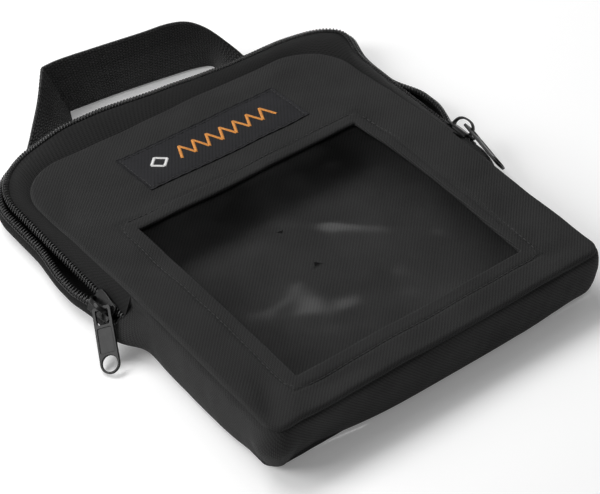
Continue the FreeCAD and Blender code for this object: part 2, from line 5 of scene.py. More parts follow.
import bmesh
import bpy
import numpy as np
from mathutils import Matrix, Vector


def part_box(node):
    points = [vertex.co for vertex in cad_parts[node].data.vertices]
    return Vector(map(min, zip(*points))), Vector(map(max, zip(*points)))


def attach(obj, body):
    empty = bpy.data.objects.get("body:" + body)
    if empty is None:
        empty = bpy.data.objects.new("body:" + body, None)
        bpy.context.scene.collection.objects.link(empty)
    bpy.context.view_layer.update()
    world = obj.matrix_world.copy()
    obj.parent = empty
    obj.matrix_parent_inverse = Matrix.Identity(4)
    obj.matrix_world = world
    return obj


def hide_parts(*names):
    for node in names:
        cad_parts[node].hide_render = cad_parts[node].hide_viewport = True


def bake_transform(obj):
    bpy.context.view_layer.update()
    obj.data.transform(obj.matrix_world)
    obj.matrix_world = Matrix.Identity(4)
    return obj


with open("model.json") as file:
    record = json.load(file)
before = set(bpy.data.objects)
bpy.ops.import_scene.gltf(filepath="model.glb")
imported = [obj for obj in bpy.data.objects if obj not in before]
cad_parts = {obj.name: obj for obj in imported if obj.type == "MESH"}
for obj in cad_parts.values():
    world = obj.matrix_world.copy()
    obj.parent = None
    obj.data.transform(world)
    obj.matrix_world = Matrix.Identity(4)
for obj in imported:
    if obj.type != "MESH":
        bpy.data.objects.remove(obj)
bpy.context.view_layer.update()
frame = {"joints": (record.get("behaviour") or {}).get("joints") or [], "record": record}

# A zip pouch of black oxford nylon that lies on its back. Lengths are in millimetres in the frame
# of the CAD model, and make_mesh turns them into metres.

MM = 0.001
PITCH = 1.55                # one turn of the zip's coil
PLY = 1.1                   # a hemmed ply of the shell fabric
HEM = 6.3                   # from the window's edge to the outside of its stitching
TAPE_PLY = 0.55             # a knitted zip tape
FILM_PLY = 0.3
SATIN_PLY = 0.4
WINDOW_LAP = 6.0            # the film under the window's hem
WEBBING_WIDTH = 25.4
SLOT = 0.02                 # half the slot that a whole sheet's innermost loop leaves before it is joined

# ---------------- sizes from the frame


def box_mm(node):
    """The lowest and highest corner of a CAD node, in millimetres."""
    low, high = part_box(node)
    return np.array(low) / MM, np.array(high) / MM


def joint(name):
    return next(j for j in frame["joints"] if j["name"] == name)


HALF_WIDTH, HALF_LENGTH = box_mm("back_panel")[1][:2]
FLOOR_PLY = box_mm("back_panel")[1][2]
FOOT_TOP = box_mm("front_panel_lower")[1][2]
FOLD = joint("flap_open")["pos_m"][1] / MM
HEAD_TOP = box_mm("front_panel_upper")[0][2] + PLY
STITCH_LOW, STITCH_HIGH = box_mm("window_thread_lower")[0], box_mm("window_thread_upper")[1]
WINDOW = (STITCH_LOW[0] + HEM, STITCH_HIGH[0] - HEM, STITCH_LOW[1] + HEM, STITCH_HIGH[1] - HEM)
LABEL_LOW, LABEL_HIGH = box_mm("label_patch")
SLIDER = {side: sum(box_mm("slider_body_" + side)) / 2 for side in ("left", "right")}
ZIP_START = box_mm("zip_coil_front")[0][1]
CHAIN_HEIGHT = SLIDER["left"][2]
FLARE = {side: abs(SLIDER[side][0]) - HALF_WIDTH for side in SLIDER}
FLARE["top"] = 15.5
CHAIN_ROUND = 27.0
HEAD_ROUND, FOOT_ROUND = 24.0, 6.0
OUTLINE_RADII = (FOOT_ROUND, HEAD_ROUND)
SIDE_STEPS, CORNER_STEPS = 100, 18      # points of a rounded outline
ROW_ACROSS = 2.5            # a coil row's centre from the middle of the chain
KNEE_ACROSS = 7.5           # where a tape turns out of the chain's plane
TILT = math.sqrt(0.5)       # sine and cosine of the chain's 45 degree tilt

# ---------------- small mathematics


def smooth(value, low, high):
    """0 below low, 1 above high and an even S between."""
    t = np.clip((np.asarray(value, float) - low) / (high - low), 0, 1)
    return t * t * (3 - 2 * t)


def unit(vectors):
    return vectors / np.maximum(np.linalg.norm(vectors, axis=-1, keepdims=True), 1e-9)


def hill(x, y, at, size, turn=0.0):
    """A round or long bump of height 1 at a point."""
    c, s = math.cos(math.radians(turn)), math.sin(math.radians(turn))
    dx, dy = x - at[0], y - at[1]
    u, v = (c * dx + s * dy) / size[0], (c * dy - s * dx) / size[1]
    return np.exp(-(u * u + v * v))


def ripple(x, y, seed, scale, octaves=3):
    """Smooth unevenness between about -1 and 1, the same each run."""
    random = np.random.default_rng(seed)
    total = np.zeros_like(np.asarray(x, float))
    weight = 0.0
    for octave in range(octaves):
        for _ in range(5):
            turn, phase = random.uniform(0, 2 * math.pi, 2)
            wave = 2 * math.pi / scale * 2 ** octave * random.uniform(0.7, 1.3)
            total += np.sin(wave * (x * math.cos(turn) + y * math.sin(turn)) + phase) / 2 ** octave
        weight += 2.5 / 2 ** octave
    return total / weight


def run_along(line):
    """The distance along a line at each of its points."""
    return np.concatenate([[0], np.cumsum(np.linalg.norm(np.diff(line, axis=0), axis=1))])


def sample(values, run, steps):
    """A line's values at these distances along it."""
    return np.stack([np.interp(steps, run, column) for column in values.T], 1)


def spline(points, count):
    """A smooth line through a few points, at even steps of its length."""
    p = np.array(points, float)
    ends = [2 * p[0] - p[1], *p, 2 * p[-1] - p[-2]]
    line = []
    for a, b, c, d in zip(ends, ends[1:], ends[2:], ends[3:]):
        for t in np.linspace(0, 1, 24, endpoint=False):
            line.append(0.5 * (2 * b + (c - a) * t + (2 * a - 5 * b + 4 * c - d) * t ** 2
                               + (3 * b - a - 3 * c + d) * t ** 3))
    line = np.array([*line, p[-1]])
    run = run_along(line)
    return sample(line, run, np.linspace(0, run[-1], count))


# ---------------- meshes


def add_object(name, data):
    made = bpy.data.objects.new(name, data)
    bpy.context.scene.collection.objects.link(made)
    return made


def make_mesh(name, points, faces, material, uv=None):
    """A mesh object from points in millimetres, with an optional cloth map in millimetres."""
    mesh = bpy.data.meshes.new(name)
    mesh.from_pydata((np.asarray(points) * MM).tolist(), [], faces)
    if uv is not None:
        layer = mesh.uv_layers.new(name="cloth")
        corners = np.zeros(len(mesh.loops), int)
        mesh.loops.foreach_get("vertex_index", corners)
        layer.data.foreach_set("uv", (np.asarray(uv)[corners]).ravel())
    mesh.validate()
    mesh.polygons.foreach_set("use_smooth", [True] * len(mesh.polygons))
    piece = add_object(name, mesh)
    mesh.materials.append(material)
    return piece


def grid_faces(rows, columns, wrap=False, offset=0, flip=False):
    """Quads over a grid of points whose columns may close into a loop."""
    faces = []
    for i in range(rows - 1):
        for j in range(columns if wrap else columns - 1):
            k = (j + 1) % columns
            quad = [i * columns + j, i * columns + k, (i + 1) * columns + k, (i + 1) * columns + j]
            quad = [offset + n for n in quad]
            faces.append(quad[::-1] if flip else quad)
    return faces


def grid_normals(points, wrap=False):
    if wrap:
        along = np.roll(points, -1, 1) - np.roll(points, 1, 1)
    else:
        along = np.gradient(points, axis=1)
    return unit(np.cross(np.gradient(points, axis=0), along))


def grid_map(points):
    """Lengths along both ways of a grid, so that a weave keeps its scale on it."""
    across = np.linalg.norm(np.diff(points, axis=0), axis=2).mean(1)
    along = np.linalg.norm(np.diff(points, axis=1), axis=2).mean(0)
    v = np.concatenate([[0], np.cumsum(across)])
    u = np.concatenate([[0], np.cumsum(along)])
    return np.stack(np.broadcast_arrays(u[None, :], v[:, None]), -1)


def cloth(name, points, material, thickness, wrap=False, uv=None, flip=False):
    """A closed sheet about a grid of points, of one thickness or one for each point."""
    rows, columns = points.shape[:2]
    normals = grid_normals(points, wrap) * (-1 if flip else 1)
    uv = grid_map(points) if uv is None else uv
    top, bottom = points + normals * thickness / 2, points - normals * thickness / 2
    count = rows * columns
    faces = grid_faces(rows, columns, wrap, 0, flip) + grid_faces(rows, columns, wrap, count, not flip)
    index = np.arange(count).reshape(rows, columns)
    rims = [index[0, ::-1], index[-1]]
    if wrap:
        rims = [np.append(index[0, ::-1], index[0, -1]), np.append(index[-1], index[-1, 0])]
    else:
        rims += [index[:, 0], index[::-1, -1]]
    for rim in rims:
        for a, b in zip(rim, rim[1:]):
            quad = [int(b), int(a), int(a) + count, int(b) + count]
            faces.append(quad[::-1] if flip else quad)
    everything = np.concatenate([top.reshape(-1, 3), bottom.reshape(-1, 3)])
    return make_mesh(name, everything, faces, material, np.tile(uv.reshape(-1, 2), (2, 1)))


def skin(rings):
    """Points and faces of a closed bar through rings of points."""
    count, sides = rings.shape[:2]
    last = (count - 1) * sides
    faces = grid_faces(count, sides, True)
    faces += [list(range(sides))[::-1], [last + k for k in range(sides)]]
    return rings.reshape(-1, 3), faces


def tube(path, radius, sides, ups=None):
    """Points and faces of a round tube along a path."""
    path = np.asarray(path, float)
    tangent = unit(np.gradient(path, axis=0))
    up = np.array([0, 0, 1.0]) if ups is None else ups
    side = unit(np.cross(tangent, up))
    lift = np.cross(side, tangent)
    turn = np.linspace(0, 2 * math.pi, sides, endpoint=False)
    ring = side[:, None] * np.cos(turn)[None, :, None] + lift[:, None] * np.sin(turn)[None, :, None]
    radius = np.broadcast_to(np.asarray(radius, float), (len(path),))
    return skin(path[:, None] + ring * radius[:, None, None])


def gather(parts):
    """Several (points, faces) as one."""
    points, faces, base = [], [], 0
    for part_points, part_faces in parts:
        points.append(part_points)
        faces += [[base + n for n in face] for face in part_faces]
        base += len(part_points)
    return np.concatenate(points), faces


# ---------------- materials


def new_material(name, **values):
    material = bpy.data.materials.new(name)
    material.use_nodes = True
    shader = material.node_tree.nodes["Principled BSDF"]
    for socket, number in values.items():
        shader.inputs[socket.replace("_", " ")].default_value = number
    return material, material.node_tree, shader


def math_node(tree, operation, first, second=None, third=None):
    node = tree.nodes.new("ShaderNodeMath")
    node.operation = operation
    for socket, item in zip(node.inputs, (first, second, third)):
        if item is None:
            continue
        if isinstance(item, (int, float)):
            socket.default_value = item
        else:
            tree.links.new(item, socket)
    return node.outputs[0]


def noise(tree, vector, scale, detail):
    node = tree.nodes.new("ShaderNodeTexNoise")
    node.inputs["Scale"].default_value = scale
    node.inputs["Detail"].default_value = detail
    tree.links.new(vector, node.inputs["Vector"])
    return node.outputs["Fac"]


def object_noise(tree, scale, detail):
    """Noise placed by the piece's own coordinates."""
    return noise(tree, tree.nodes.new("ShaderNodeTexCoord").outputs["Object"], scale, detail)


def add_bump(tree, shader, height, depth, strength=1.0):
    """Relief whose depth is in millimetres."""
    bump = tree.nodes.new("ShaderNodeBump")
    bump.inputs["Distance"].default_value = depth * MM
    bump.inputs["Strength"].default_value = strength
    tree.links.new(height, bump.inputs["Height"])
    tree.links.new(bump.outputs["Normal"], shader.inputs["Normal"])


def colour(tree, shader, factor, low, high, first, second):
    """The base colour, from first at low to second at high."""
    node = tree.nodes.new("ShaderNodeValToRGB")
    node.color_ramp.elements[0].position, node.color_ramp.elements[1].position = low, high
    node.color_ramp.elements[0].color = (*first, 1)
    node.color_ramp.elements[1].color = (*second, 1)
    tree.links.new(factor, node.inputs["Fac"])
    tree.links.new(node.outputs["Color"], shader.inputs["Base Color"])


def weave_nodes(tree, warp, weft, twill):
    """Height and which-thread masks of a weave with threads of these widths, from the cloth map."""
    calc = partial(math_node, tree)
    place = tree.nodes.new("ShaderNodeUVMap")
    place.uv_map = "cloth"
    split = tree.nodes.new("ShaderNodeSeparateXYZ")
    tree.links.new(place.outputs["UV"], split.inputs[0])
    u = calc("DIVIDE", split.outputs["X"], warp)
    v = calc("DIVIDE", split.outputs["Y"], weft)
    across = calc("SINE", calc("MULTIPLY", calc("FRACT", u), math.pi))
    along = calc("SINE", calc("MULTIPLY", calc("FRACT", v), math.pi))
    cells = calc("SUBTRACT", calc("FLOOR", u), calc("FLOOR", v))
    period = 2 + twill
    place_in = calc("FLOORED_MODULO", cells, period)
    over = calc("LESS_THAN", place_in, period / 2 - 0.01)
    warp_up = calc("MULTIPLY", across, calc("MULTIPLY_ADD", along, 0.45, 0.55))
    weft_up = calc("MULTIPLY", along, calc("MULTIPLY_ADD", across, 0.45, 0.55))
    under = calc("SUBTRACT", 1.0, over)
    height = calc("ADD", calc("MULTIPLY", warp_up, over), calc("MULTIPLY", weft_up, under))
    return height, over, place.outputs["UV"]


def fabric(name, dark, light, warp, weft, depth, sheen, twill=0, roughness=0.72):
    """Woven cloth: its threads, with painted sheen on the threads that lie on top and painted shade in the
    dips of the weave, slubs, worn patches and a soft sheen.
    """
    material, tree, shader = new_material(name, Roughness=roughness, Sheen_Weight=sheen,
                                          Sheen_Roughness=0.45, Specular_IOR_Level=0.12)
    calc = partial(math_node, tree)
    height, over, cloth_map = weave_nodes(tree, warp, weft, twill)
    patches = noise(tree, cloth_map, 0.045, 4.0)
    slubs = noise(tree, cloth_map, 1.1, 1.0)
    # Painted light: the threads that lie on top are made lighter as a painted sheen, and the weave's crests
    # lighter than its dips as painted shade.
    tone = calc("MULTIPLY_ADD", over, 0.28, calc("MULTIPLY", height, 0.45))
    tone = calc("ADD", tone, calc("MULTIPLY", patches, 0.45))
    tone = calc("MULTIPLY_ADD", slubs, 0.25, tone)
    colour(tree, shader, tone, 0.25, 1.05, dark, light)
    rough = calc("MULTIPLY_ADD", patches, 0.22, roughness - 0.1)
    tree.links.new(rough, shader.inputs["Roughness"])
    add_bump(tree, shader, calc("MULTIPLY_ADD", slubs, 0.3, height), depth, 0.9)
    return material


def grey(value, warmth=0.0):
    return (value * (1 + warmth), value, value * (1 - warmth))


def sewing_thread(name, dark, light):
    """Twisted thread, whose strands differ a little in tone."""
    material, tree, shader = new_material(name + " thread", Roughness=0.5, Sheen_Weight=0.2)
    strands = object_noise(tree, 2600, 2.0)
    colour(tree, shader, strands, 0.3, 0.7, dark, light)
    add_bump(tree, shader, strands, 0.05)
    return material


def coil_nylon():
    """The zip coil's glossy filament."""
    material, tree, shader = new_material("coil nylon", Roughness=0.32, Specular_IOR_Level=0.55)
    specks = object_noise(tree, 900, 3.0)
    colour(tree, shader, specks, 0.3, 0.75, grey(0.012), grey(0.035))
    tree.links.new(math_node(tree, "MULTIPLY_ADD", specks, 0.2, 0.15), shader.inputs["Roughness"])
    return material


def black_enamel():
    """Painted cast metal, a little worn."""
    material, tree, shader = new_material("black enamel", Roughness=0.38, Specular_IOR_Level=0.16,
                                          Coat_Weight=0.12, Coat_Roughness=0.06)
    wear = object_noise(tree, 420, 6.0)
    colour(tree, shader, wear, 0.35, 0.8, grey(0.003), grey(0.012))
    tree.links.new(math_node(tree, "MULTIPLY_ADD", wear, 0.3, 0.22), shader.inputs["Roughness"])
    add_bump(tree, shader, wear, 0.03, 0.4)
    return material


def clear_film():
    """Clear flexible film: seen through, with a gloss that follows its waves and a slight haze."""
    material, tree, shader = new_material("clear film", Roughness=0.12, Alpha=0.10, IOR=1.5,
                                          Specular_IOR_Level=0.6)
    haze = object_noise(tree, 38, 5.0)
    colour(tree, shader, haze, 0.35, 0.75, grey(0.01), grey(0.05))
    tree.links.new(math_node(tree, "MULTIPLY_ADD", haze, 0.14, 0.10), shader.inputs["Roughness"])
    return material


def make_materials():
    """Each cloth as its dark and light tone, warp, weft, depth of weave, sheen and twill."""
    return {
        "shell": fabric("oxford nylon", grey(0.0005), grey(0.046), 0.54, 0.54, 0.34, 0.02, 1),
        "lining": fabric("lining", grey(0.001), grey(0.060), 0.60, 0.60, 0.30, 0.03, 1),
        "tape": fabric("zip tape", grey(0.002), grey(0.016), 0.5, 0.9, 0.20, 0.03, 2),
        "binding": fabric("binding", grey(0.003), grey(0.026), 0.9, 0.5, 0.16, 0.05),
        "label": fabric("label satin", grey(0.004), (0.022, 0.022, 0.025), 0.35, 0.5, 0.06, 0.05, 3, 0.5),
        "webbing": fabric("webbing", grey(0.003), grey(0.085), 0.66, 1.30, 0.25, 0.06),
        "thread": sewing_thread("thread", grey(0.001), grey(0.006)),
        "orange": sewing_thread("orange", (0.42, 0.13, 0.012), (0.90, 0.38, 0.05)),
        "white": sewing_thread("white", grey(0.55), grey(0.86, 0.01)),
        "coil": coil_nylon(),
        "enamel": black_enamel(),
        "film": clear_film(),
    }


# ---------------- outlines


def rounded_loop(inset, radii, bounds=None):
    """Points round a rounded rectangle, anticlockwise from the foot side's left end.

    radii is (foot, head), and every loop matches the others point by point."""
    x0, x1, y0, y1 = bounds or (-HALF_WIDTH, HALF_WIDTH, -HALF_LENGTH, HALF_LENGTH)
    x0, x1, y0, y1 = x0 + inset, x1 - inset, y0 + inset, y1 - inset
    least_radius = 0.05
    foot, head = (max(radius - inset, least_radius) for radius in radii)
    corners = [(x1, y0, foot), (x1, y1, head), (x0, y1, head), (x0, y0, foot)]
    signs = [(-1, 1), (-1, -1), (1, -1), (1, 1)]
    points = []
    previous = (x0 + foot, y0)
    for i, ((cx, cy, radius), (sx, sy)) in enumerate(zip(corners, signs)):
        centre = np.array([cx + sx * radius, cy + sy * radius])
        turns = -math.pi / 2 + i * math.pi / 2 + np.linspace(0, math.pi / 2, CORNER_STEPS + 1)
        arc = centre + radius * np.stack([np.cos(turns), np.sin(turns)], 1)
        side = np.linspace(previous, arc[0], SIDE_STEPS, endpoint=False)
        points += [side, arc[:-1]]
        previous = arc[-1]
    return np.concatenate(points)


def top_surface(x, y):
    """The height of the front's outer face: level over the foot half, then down to the zip."""
    slope = (FOOT_TOP - HEAD_TOP) / (HALF_LENGTH - FOLD)
    bend = 7.0
    height = FOOT_TOP - slope * bend * np.log1p(np.exp(np.clip((y - FOLD) / bend, -30, 30)))
    return height + soft_shape(x, y)


# Each dent or swelling of the front: its middle, half sizes, turn in degrees and height.
DENTS = (
    ((-74, 62), (6, 16), -20, -1.7),
    ((-66, 40), (8, 14), 25, 1.2),
    ((-72, 14), (6, 13), 30, -1.9),
    ((-67, -30), (7, 24), 0, 0.9),
    ((-70, -66), (6, 12), 15, -1.6),
    ((-75, -80), (4, 12), -25, -1.6),
    ((-67, -84), (4, 9), -20, 1.1),
    ((-52, -84), (10, 4), 5, -0.9),
    ((66, 26), (9, 12), 30, -1.0),
    ((70, -52), (9, 14), -15, -1.0),
    ((62, -84), (16, 4), 0, -0.8),
    ((-40, -86), (14, 4), 5, -0.9),
    ((70, 60), (9, 20), 10, -1.2),
    ((72, 10), (8, 30), 0, 0.6),
    ((20, 84), (40, 6), 0, 0.9),
    ((-20, 38), (60, 5), 0, 0.35),
    ((30, -84), (30, 5), 0, 0.5),
)


def soft_shape(x, y):
    """How the fabric sags, swells and creases over its stiff edges."""
    shape = 0.55 * ripple(x, y, 3, 80) + 0.20 * ripple(x, y, 5, 26, 2)
    for at, size, turn, amount in DENTS:
        shape = shape + amount * hill(x, y, at, size, turn)
    return shape


# ---------------- front panel and window


def front_panel(materials):
    """One fabric piece: from the window's folded hem out to the seam, rolled over at both."""
    roll = 1.2
    hem = ((4.0, 1.15), (1.6, 1.15), (0.35, 0.95), (0.0, 0.55), (0.12, 0.15))
    loops, heights = [], []
    window_loop = window_outline()
    edge_loop = rounded_loop(roll, OUTLINE_RADII)
    for back, drop in hem:
        loops.append(window_loop + outward(window_loop) * back)
        heights.append(-drop)
    for t in 1 - np.cos(np.linspace(0.12, 1, 34) * math.pi / 2):
        loops.append(window_loop * (1 - t) + edge_loop * t)
        heights.append(0.0)
    for turn in np.linspace(0.2, 1, 5) * math.pi / 2:
        loops.append(edge_loop + outward(edge_loop) * roll * math.sin(turn))
        heights.append(-roll * (1 - math.cos(turn)))
    loops.append(loops[-1] - outward(edge_loop) * 0.25)
    heights.append(-roll - 0.8)
    flat = np.array(loops)
    x, y = flat[..., 0], flat[..., 1]
    z = top_surface(x, y) - PLY / 2 + np.array(heights)[:, None]
    z -= 0.45 * seam_dip(x, y)
    points = np.stack([x, y, z], -1)
    steps = np.array([outward(loop) for loop in loops])
    beyond = -np.array(heights) * np.where(np.arange(len(heights)) < len(hem), -1, 1)
    cloth_map = flat + steps * beyond[:, None, None]
    piece = cloth("front_panel", points, materials["shell"], PLY, wrap=True, uv=cloth_map, flip=True)
    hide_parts("front_panel_lower", "front_panel_upper")
    bend_at_fold(piece)


def window_outline(inset=0.0):
    """The window's edge, whose right side bows out a little where the cloth is slack."""
    corner, bow, sway, sway_length = 1.0, 2.6, 0.9, 17
    loop = rounded_loop(inset, (corner, corner), bounds=WINDOW)
    x0, x1, y0, y1 = WINDOW
    along = np.clip((loop[:, 1] - y0) / (y1 - y0), 0, 1)
    loop[:, 0] += bow * np.sin(np.pi * along) * smooth(loop[:, 0], x1 - 12, x1)
    at_head = smooth(loop[:, 1], y1 - 8, y1)
    loop[:, 1] += sway * np.sin(loop[:, 0] / sway_length) * at_head * smooth(loop[:, 0], x0, x0 + 12)
    return loop


def outward(loop):
    """Unit steps out of a closed anticlockwise outline."""
    along = unit(np.roll(loop, -1, 0) - np.roll(loop, 1, 0))
    return np.stack([along[:, 1], -along[:, 0]], 1)


def seam_dip(x, y):
    """1 along the stitching lines, where the thread pulls the fabric down."""
    x0, x1, y0, y1 = WINDOW
    inset = HEM - 0.4
    gap_x = np.maximum(x0 - inset - x, x - x1 - inset)
    gap_y = np.maximum(y0 - inset - y, y - y1 - inset)
    away = np.where((gap_x > 0) & (gap_y > 0), np.hypot(gap_x, gap_y), np.maximum(gap_x, gap_y))
    return np.exp(-(away / 0.9) ** 2)


def bend_at_fold(piece):
    """The piece spans the fold between the part that stays and the flap; only its placement is baked into
    its points, and it is neither bent nor attached to either part.
    """
    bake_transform(piece)


# ---------------- gusset, back and bindings


def foot_path(out):
    """The line down the left side, round the foot and up the right side, moved outwards by out."""
    x, y, radius = HALF_WIDTH + out, -HALF_LENGTH - out, FOOT_ROUND + out
    turns = np.linspace(0, math.pi / 2, 15)
    left_arc = np.stack([-x + radius - radius * np.cos(turns), y + radius - radius * np.sin(turns)], 1)
    left = np.linspace((-x, ZIP_START + 2.0), left_arc[0], 90, endpoint=False)
    foot = np.linspace(left_arc[-1], (0, y), 75, endpoint=False)
    line = np.concatenate([left, left_arc[:-1], foot])
    mirrored = line[::-1] * (-1, 1)
    return np.concatenate([line, [(0, y)], mirrored])


def foot_lean(x, y):
    """How far the wall's lower edge, and the back panel with it, comes in along the foot."""
    return 4.2 * hill(x, y, (-66, -93), (26, 20)) + 1.8 * hill(x, y, (72, -93), (22, 20))


WIDEN_FROM = {"left": -20.0, "right": -40.0}        # where the wall starts to widen to the zip


def zip_section(flare):
    """Out and height down the section of the two tapes, from the front seam to the back seam."""
    knee = KNEE_ACROSS * TILT
    return [(0.1, FOOT_TOP - 1.9), (0.5, FOOT_TOP - 4.5), (flare - knee, CHAIN_HEIGHT + knee),
            (flare, CHAIN_HEIGHT), (flare + knee * 0.8, CHAIN_HEIGHT - knee), (flare * 0.4, 3.6),
            (0.2, FLOOR_PLY + 0.6)]


def gusset(materials):
    """The wall round the foot, which swells out between its seams and out to the zip at its ends."""
    rows, lip = 30, 1.9
    line = foot_path(0.0)
    steps = unit(foot_path(1.0) - line)
    share = np.linspace(0, 1, rows)[:, None] + 0 * line[:, 0]
    x, y = line[:, 0] + 0 * share, line[:, 1] + 0 * share
    height = FOOT_TOP - lip + (FLOOR_PLY + 0.5 - FOOT_TOP + lip) * share
    swell = 2.1 * np.sin(np.pi * share) ** 0.5 * (1 + 0.3 * ripple(x + y, share * 20, 8, 40))
    swell = swell + 1.3 * share * smooth(-y, 0, 40) * smooth(-x, 60, 80)
    swell = swell - share ** 1.5 * foot_lean(x, y)
    corner = hill(x, y, (-81, -90), (9, 8)) * np.sin(np.pi * share) ** 2
    swell = swell + 2.2 * corner - 1.2 * hill(x, y, (-72, -93), (4.5, 8)) * (1 - share) ** 0.5
    out = swell - 1.3 * (1 - smooth(share, 0, 0.09))
    for side, sign in (("left", -1), ("right", 1)):
        section = spline(zip_section(FLARE[side]), rows)
        near = smooth(y, WIDEN_FROM[side], ZIP_START - 1) * (sign * x > 0)
        out = out * (1 - near) + section[:, :1] * near
        height = height * (1 - near) + section[:, 1:] * near
    points = np.stack([x + steps[:, 0] * out, y + steps[:, 1] * out, height], -1)
    wave = 0.22 * ripple(x + y, height, 12, 16, 2) * np.sin(np.pi * share)
    points[..., :2] += steps * wave[..., None]
    piece = cloth("gusset", points, materials["shell"], PLY)
    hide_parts("bottom_gusset", "zip_end_tab_left", "zip_end_tab_right")
    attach(piece, "pouch")


def close_middle(piece):
    """Join the two sides of the innermost loop, so that the sheet has no slot along its middle.

    A small nick stays at each end of that line."""
    mesh = bmesh.new()
    mesh.from_mesh(piece.data)
    near = SLOT * 1.5 * MM
    rims = [face for face in mesh.faces if all(abs(vertex.co.x) < near for vertex in face.verts)]
    bmesh.ops.delete(mesh, geom=rims, context="FACES")
    bmesh.ops.remove_doubles(mesh, verts=mesh.verts, dist=SLOT * 2.5 * MM)
    mesh.to_mesh(piece.data)
    mesh.free()


def full_panel(name, node, material, inset, level, thickness, waves):
    """A whole sheet inside the outline, with soft waves."""
    depth = HALF_WIDTH - SLOT - inset
    insets = inset + np.concatenate([[0], 1 - np.cos(np.linspace(0.1, 1, 30) * math.pi / 2)]) * depth
    loops = np.array([rounded_loop(step, OUTLINE_RADII) for step in insets])
    x, y = loops[..., 0], loops[..., 1]
    y = y + foot_lean(x, y) * smooth(-y, 70, 92)
    z = level + waves * (1 + ripple(x, y, 21, 60))
    piece = cloth(name, np.stack([x, y, z], -1), material, thickness, wrap=True,
                  uv=np.stack([x, y], -1))
    close_middle(piece)
    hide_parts(node)
    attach(piece, "pouch")


def binding(name, node, level, materials):
    """A tape folded over the inside seam."""
    inset, high = PLY + 0.9, 5.6
    section = spline([(0.35, 0), (0.0, 1.2), (-0.15, high / 2), (0.0, high - 1.2), (0.35, high)], 14)
    line, steps = foot_path(-inset), unit(foot_path(0.0) - foot_path(-1.0))
    rows = []
    for out, up in section:
        wave = 0.15 * ripple(line[:, 0] + line[:, 1], line[:, 1] * 0 + up, 31, 18, 2)
        rows.append(np.stack([line[:, 0] + steps[:, 0] * (out + wave),
                              line[:, 1] + steps[:, 1] * (out + wave), level + up + 0 * wave], -1))
    piece = cloth(name, np.array(rows), materials["binding"], 0.7)
    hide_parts(node)
    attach(piece, "pouch")


# ---------------- zip


def rail(left, right, top, corner):
    """Up the left side, round both upper corners and down the right side, with matching counts."""
    arc = np.linspace(0, math.pi / 2, 25)
    side_top = top - corner
    left_arc = np.stack([-left + corner - corner * np.cos(arc), side_top + corner * np.sin(arc)], 1)
    right_arc = np.stack([right - corner + corner * np.sin(arc), side_top + corner * np.cos(arc)], 1)
    left_side = np.linspace((-left, ZIP_START), left_arc[0], 84, endpoint=False)
    head = np.linspace(left_arc[-1], right_arc[0], 112, endpoint=False)
    right_side = np.linspace(right_arc[-1], (right, ZIP_START), 85)
    return np.concatenate([left_side, left_arc[:-1], head, right_arc[:-1], right_side])


def chain_rail(out, height, sag=1.0, part=0.0):
    """A line of the chain, out from its middle, with the loose lie of the open zip."""
    line = rail(HALF_WIDTH + FLARE["left"] + out, HALF_WIDTH + FLARE["right"] + out,
                HALF_LENGTH + FLARE["top"] + out, CHAIN_ROUND + out)
    x, y = line[:, 0].copy(), line[:, 1].copy()
    reach = np.where(x < -35, 28, 50)
    rise = 8.5 * np.exp(-((x + 35) / reach) ** 2) * smooth(y, 84, 104)
    corner = 9.5 * np.exp(-((y - 99) / 13) ** 2) * smooth(x, 58, 86)
    gap_right = smooth(x, 60, 80) * smooth(y, SLIDER["right"][1] + 3, 34) * (1 - smooth(y, 40, 60))
    gap_left = smooth(-x, 60, 80) * smooth(y, SLIDER["left"][1] + 3, 30) * (1 - smooth(y, 36, 60))
    y += rise * sag
    x += corner + part * (5.5 * gap_right - 2.6 * gap_left)
    lift = 0.35 * ripple(x, y, 44, 45, 2) * smooth(y, 20, 40)
    return np.stack([x, y, height + lift], 1)


def chain_line(across, face=0.0, sag=1.0, part=0.0):
    """A line of the chain's tilted section: across from its middle and off its face."""
    return chain_rail(across * TILT + face * TILT, CHAIN_HEIGHT - across * TILT + face * TILT, sag, part)


def seam_line(inset, height_of):
    """A line that runs with the zip, this far inside the outline."""
    line = rail(HALF_WIDTH - inset, HALF_WIDTH - inset, HALF_LENGTH - inset, HEAD_ROUND - inset)
    return np.stack([line[:, 0], line[:, 1], height_of(line[:, 0], line[:, 1])], 1)


def tape(name, node, body_call, seam, bend, knee, tip, materials):
    """A knitted tape from its seam, over its bend, out to the edge under its coil."""
    rows = []
    for t in np.linspace(0, 1, 15):
        first, second = seam * (1 - t) + bend * t, bend * (1 - t) + knee * t
        third = knee * (1 - t) + tip * t
        rows.append((first * (1 - t) + second * t) * (1 - t) + (second * (1 - t) + third * t) * t)
    piece = cloth(name, np.array(rows), materials["tape"], TAPE_PLY)
    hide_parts(node)
    body_call(piece)


def coil(name, node, body_call, line, across, materials, toward):
    """A nylon filament in flat turns round a cord, with its heads towards the other row."""
    reach, rise, wire, core_radius = 1.6, 1.25, 0.31, 0.95
    run = run_along(line)
    turns = int(run[-1] / PITCH)
    steps = np.linspace(0, run[-1], turns * 12 + 1)
    centre, side = sample(line, run, steps), unit(sample(across, run, steps))
    tangent = unit(np.gradient(centre, axis=0))
    face = unit(np.cross(side, tangent))
    phase = 2 * math.pi * steps / PITCH
    sideways = reach * np.cos(phase) + 0.12 * np.cos(2 * phase)
    path = centre + side * (toward * sideways)[:, None] + face * (rise * np.sin(phase))[:, None]
    path += tangent * (0.22 * np.sin(2 * phase))[:, None]
    radius = wire + 0.10 * smooth(np.cos(phase), 0.5, 1.0)
    core, core_faces = tube(line, core_radius, 8)
    points, faces = gather([tube(path, radius, 6, ups=side), (core, core_faces)])
    piece = make_mesh(name, points, faces, materials["coil"])
    # The cord is real, but it takes the darker thread material as painted shade in the gaps between the
    # turns.
    piece.data.materials.append(materials["thread"])
    for polygon in piece.data.polygons[len(faces) - len(core_faces):]:
        polygon.material_index = 1
    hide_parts(node)
    body_call(piece)


